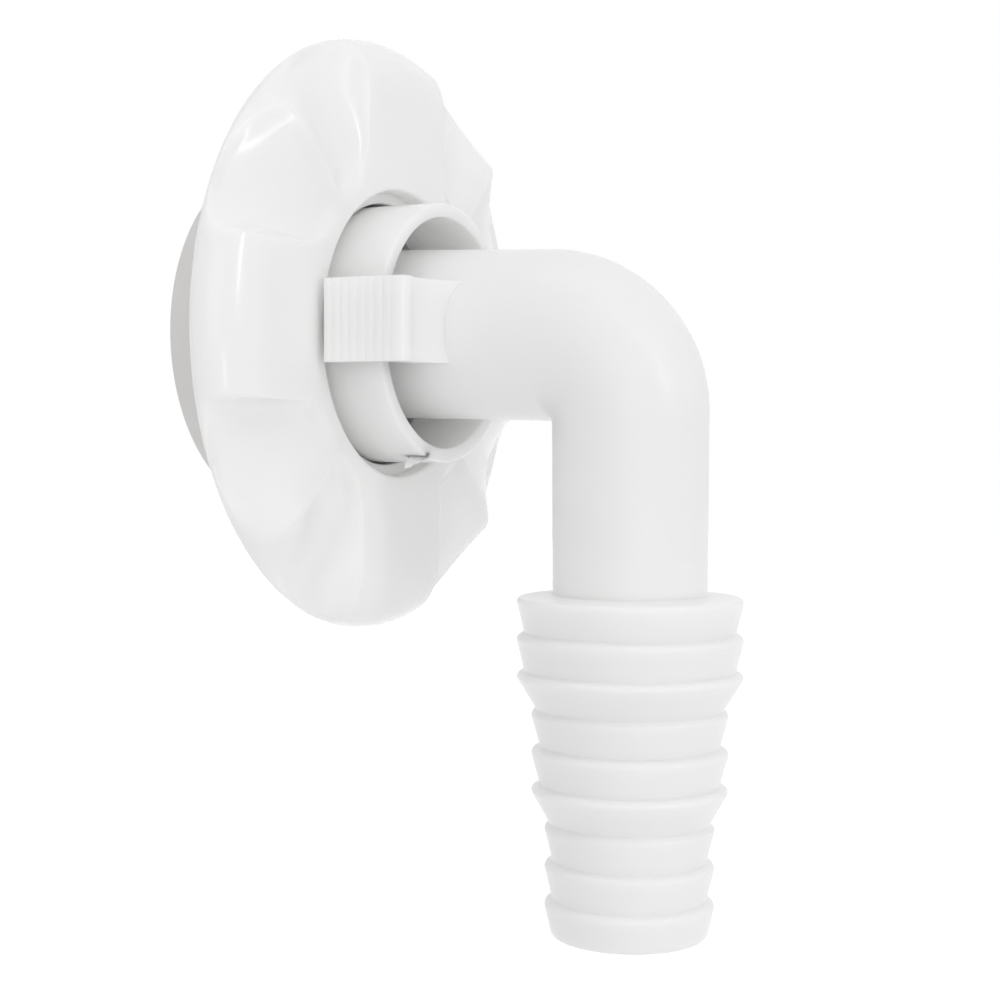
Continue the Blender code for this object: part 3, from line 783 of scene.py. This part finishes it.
def tab_line():
    """A tab and its bridge seen from above, as (x, distance from the axis, rounding)."""
    line = [*BRIDGE_FRONT_LINE, (TAB_FRONT, TAB_R - RIB_HEIGHT, TAB_FRONT_ROUNDING)]
    pitch = (TAB_FRONT - TAB_BACK - RIBS_SPARE) / TAB_RIBS
    for k in range(TAB_RIBS):
        x = TAB_FRONT - RIBS_START - pitch * k
        for share in RIB_TOP_SHARES:
            line.append((x - pitch * share, TAB_R, RIB_ROUNDING))
        line.append((x - pitch, TAB_R - RIB_HEIGHT, HAIR))
    line += [
        (TAB_BACK, TAB_UNDER + TAB_END_RISE, BROKEN),
        (TAB_BACK + TAB_END_RUN, TAB_UNDER, CRISP),
        (BRIDGE_BACK, TAB_UNDER, BRIDGE_ROUNDING),
        (BRIDGE_BACK, BRIDGE_ROOT_R, BRIDGE_ROUNDING),
        (BRIDGE_BACK - BRIDGE_HEEL_RUN, BRIDGE_HEEL_R, 0.0),
        (BRIDGE_BACK - BRIDGE_HEEL_RUN, BRIDGE_BURIED_R, 0.0),
    ]
    return rounded_line(line, TAB_LINE_STEPS)


def tab_shape(side):
    """One tab as a closed shape, near (-1) or far (+1)."""
    shape = bmesh.new()
    low = (TAB_LIFT - TAB_WIDTH / 2) * MM
    marks = [shape.verts.new((x * MM, side * r * MM, low)) for x, r in tab_line()]
    face = shape.faces.new(marks)
    grown = bmesh.ops.extrude_face_region(shape, geom=[face])["geom"]
    raised = [item for item in grown if isinstance(item, bmesh.types.BMVert)]
    bmesh.ops.translate(shape, vec=(0.0, 0.0, TAB_WIDTH * MM), verts=raised)
    bmesh.ops.recalc_face_normals(shape, faces=shape.faces[:])
    return shape


def mesh_of(shape, name):
    mesh = bpy.data.meshes.new(name)
    shape.to_mesh(mesh)
    shape.free()
    return mesh


def join_tabs(shape):
    """Unites the pipe and its two tabs, and gives the result back as one shape."""
    pipe = bpy.data.objects.new("pipe", mesh_of(shape, "pipe"))
    helpers = [pipe]
    for side in (-1, 1):
        tab = bpy.data.objects.new("tab", mesh_of(tab_shape(side), "tab"))
        helpers.append(tab)
        union = pipe.modifiers.new("tab", "BOOLEAN")
        union.operation = "UNION"
        union.solver = "EXACT"
        union.object = tab
    for helper in helpers:
        bpy.context.scene.collection.objects.link(helper)
    bpy.context.view_layer.update()
    graph = bpy.context.evaluated_depsgraph_get()
    united = bpy.data.meshes.new_from_object(pipe.evaluated_get(graph))
    joined = bmesh.new()
    joined.from_mesh(united)
    for helper in helpers:
        bpy.data.objects.remove(helper, do_unlink=True)
    bpy.data.meshes.remove(united)
    return joined


elbow_shape = join_tabs(pipe_shape)
hand_over("elbow_finished", elbow_shape, pipe_white, "elbow", "swivel", sharp_deg=35.0)

# %% [markdown]
# ## The sealing ring
#
# The black ring sits in the spigot's groove, out of sight. It is a torus: a small circle spun
# round the hub's axis.

# %% The sealing ring
RING_SECTION = 1.5
RING_MIDDLE_R = 12.4
RING_SIDES = 20


def ring_shape():
    shape = bmesh.new()
    place = Matrix.Translation(((GROOVE_X + GROOVE_WIDTH / 2) * MM, 0.0, RING_MIDDLE_R * MM))
    stand = Matrix.Rotation(math.radians(90.0), 4, "X")
    bmesh.ops.create_circle(shape, segments=RING_SIDES, radius=RING_SECTION / 2 * MM,
                            matrix=place @ stand)
    return spin_section(shape, TURN_STEPS)


hand_over("o_ring_finished", ring_shape(), ring_black, "o_ring", "swivel")

# %% [markdown]
# ## The floor
#
# The photograph is a pale product picture with hardly any shadow. The floor lies well below the
# hanging hose tail, so that the shadow on it is wide and faint. Emission that only the camera,
# the reflections and clear materials see lifts the floor to the paper white of the photograph.
# More light would whiten it too, but would wash out the white plastic.

# %% The floor
FLOOR_DEPTH = 0.25
FLOOR_R = 4.0
FLOOR_SIDES = 64
FLOOR_COLOUR = (0.93, 0.93, 0.93, 1.0)
FLOOR_ROUGHNESS = 0.9
FLOOR_LIFT = 0.55
WHITE = (1.0, 1.0, 1.0, 1.0)


def seen_rays(tree):
    """1 for camera, glossy and transmission rays, 0 for the rest."""
    path = tree.nodes.new("ShaderNodeLightPath")
    either = tree.nodes.new("ShaderNodeMath")
    either.operation = "MAXIMUM"
    link(tree, path.outputs["Is Camera Ray"], either.inputs[0])
    link(tree, path.outputs["Is Glossy Ray"], either.inputs[1])
    both = tree.nodes.new("ShaderNodeMath")
    both.operation = "MAXIMUM"
    link(tree, either.outputs["Value"], both.inputs[0])
    link(tree, path.outputs["Is Transmission Ray"], both.inputs[1])
    return both.outputs["Value"]


def add_floor():
    shape = bmesh.new()
    bmesh.ops.create_circle(shape, cap_ends=True, segments=FLOOR_SIDES, radius=FLOOR_R)
    bmesh.ops.translate(shape, vec=(0.0, 0.0, -FLOOR_DEPTH), verts=shape.verts[:])
    floor = bpy.data.objects.new("floor", mesh_of(shape, "floor"))
    bpy.context.scene.collection.objects.link(floor)
    paper = bpy.data.materials.new("paper_white")
    paper.use_nodes = True
    tree = paper.node_tree
    shader = tree.nodes["Principled BSDF"]
    shader.inputs["Base Color"].default_value = FLOOR_COLOUR
    shader.inputs["Roughness"].default_value = FLOOR_ROUGHNESS
    shader.inputs["Emission Color"].default_value = WHITE
    lift = tree.nodes.new("ShaderNodeMath")
    lift.operation = "MULTIPLY"
    lift.inputs[1].default_value = FLOOR_LIFT
    link(tree, seen_rays(tree), lift.inputs[0])
    link(tree, lift.outputs["Value"], shader.inputs["Emission Strength"])
    floor.data.materials.append(paper)
    return floor


floor = add_floor()
print(floor.name, "is", 2.0 * FLOOR_R, "m wide and", FLOOR_DEPTH, "m below the hub's axis")

# %% [markdown]
# ## The light
#
# A pale sky gives most of the light, as a photographer's white tent does. It is a little dimmer
# on the waste pipe's side, so that the faces turned that way are a shade darker. The lamps add
# shape and glints: a soft one overhead, a long box high on the right, and a soft one behind the
# camera. A narrow strip at the right stands about where the upper and the near arm of the wheel
# reflect it, and a low spot where the lower arm does. Sizes of the room are in metres.

# %% The sky and the lamps
SKY_FILL = 0.69
SKY_BACK_FILL = 0.60
LAMP_TARGET = (0.03, 0.0, -0.02)


def light_world(fill, back_fill):
    """A pale sky, dimmer on the pipe's side, -X, that looks pure white to the camera."""
    world = bpy.data.worlds.new("studio")
    world.use_nodes = True
    tree = world.node_tree
    sky = tree.nodes["Background"]
    sky.inputs["Color"].default_value = WHITE
    side = tree.nodes.new("ShaderNodeMapRange")
    side.inputs["From Min"].default_value = -1.0
    side.inputs["From Max"].default_value = 0.0
    side.inputs["To Min"].default_value = back_fill
    side.inputs["To Max"].default_value = fill
    parts = tree.nodes.new("ShaderNodeSeparateXYZ")
    coordinates = tree.nodes.new("ShaderNodeTexCoord")
    link(tree, coordinates.outputs["Generated"], parts.inputs["Vector"])
    link(tree, parts.outputs["X"], side.inputs["Value"])
    level = tree.nodes.new("ShaderNodeMapRange")
    level.inputs["To Max"].default_value = 1.0
    link(tree, side.outputs["Result"], level.inputs["To Min"])
    link(tree, seen_rays(tree), level.inputs["Value"])
    link(tree, level.outputs["Result"], sky.inputs["Strength"])
    bpy.context.scene.world = world


def add_lamp(name, place, width, height, power, roll_deg=0.0):
    """A soft lamp that faces the adapter, rolled about its own axis. Metres and watts."""
    data = bpy.data.lights.new(name, "AREA")
    data.shape = "RECTANGLE"
    data.size = width
    data.size_y = height
    data.energy = power
    lamp = bpy.data.objects.new(name, data)
    lamp.location = place
    ahead = Vector(LAMP_TARGET) - Vector(place)
    lamp.rotation_euler = ahead.to_track_quat("-Z", "Y").to_euler()
    lamp.rotation_euler.rotate_axis("Z", math.radians(roll_deg))
    bpy.context.scene.collection.objects.link(lamp)
    return lamp


light_world(SKY_FILL, SKY_BACK_FILL)
lamps = [
    add_lamp("overhead", (0.05, -0.10, 0.6), width=0.5, height=0.5, power=0.35),
    add_lamp("long_box", (0.42, -0.15, 0.37), width=0.45, height=0.06, power=0.18, roll_deg=-40.0),
    add_lamp("front_soft", (0.29, -0.50, 0.10), width=0.35, height=0.35, power=0.30),
    add_lamp("right_strip", (0.594, -0.096, 0.16), width=0.03, height=0.14, power=0.20),
    add_lamp("low_spot", (0.474, -0.39, -0.122), width=0.035, height=0.06, power=0.10),
]
print("lamps:", [lamp.name for lamp in lamps])

# %% [markdown]
# ## The picture's tone
#
# The plain Standard view keeps colours as they are written.

# %% The picture's tone
bpy.context.scene.view_settings.view_transform = "Standard"
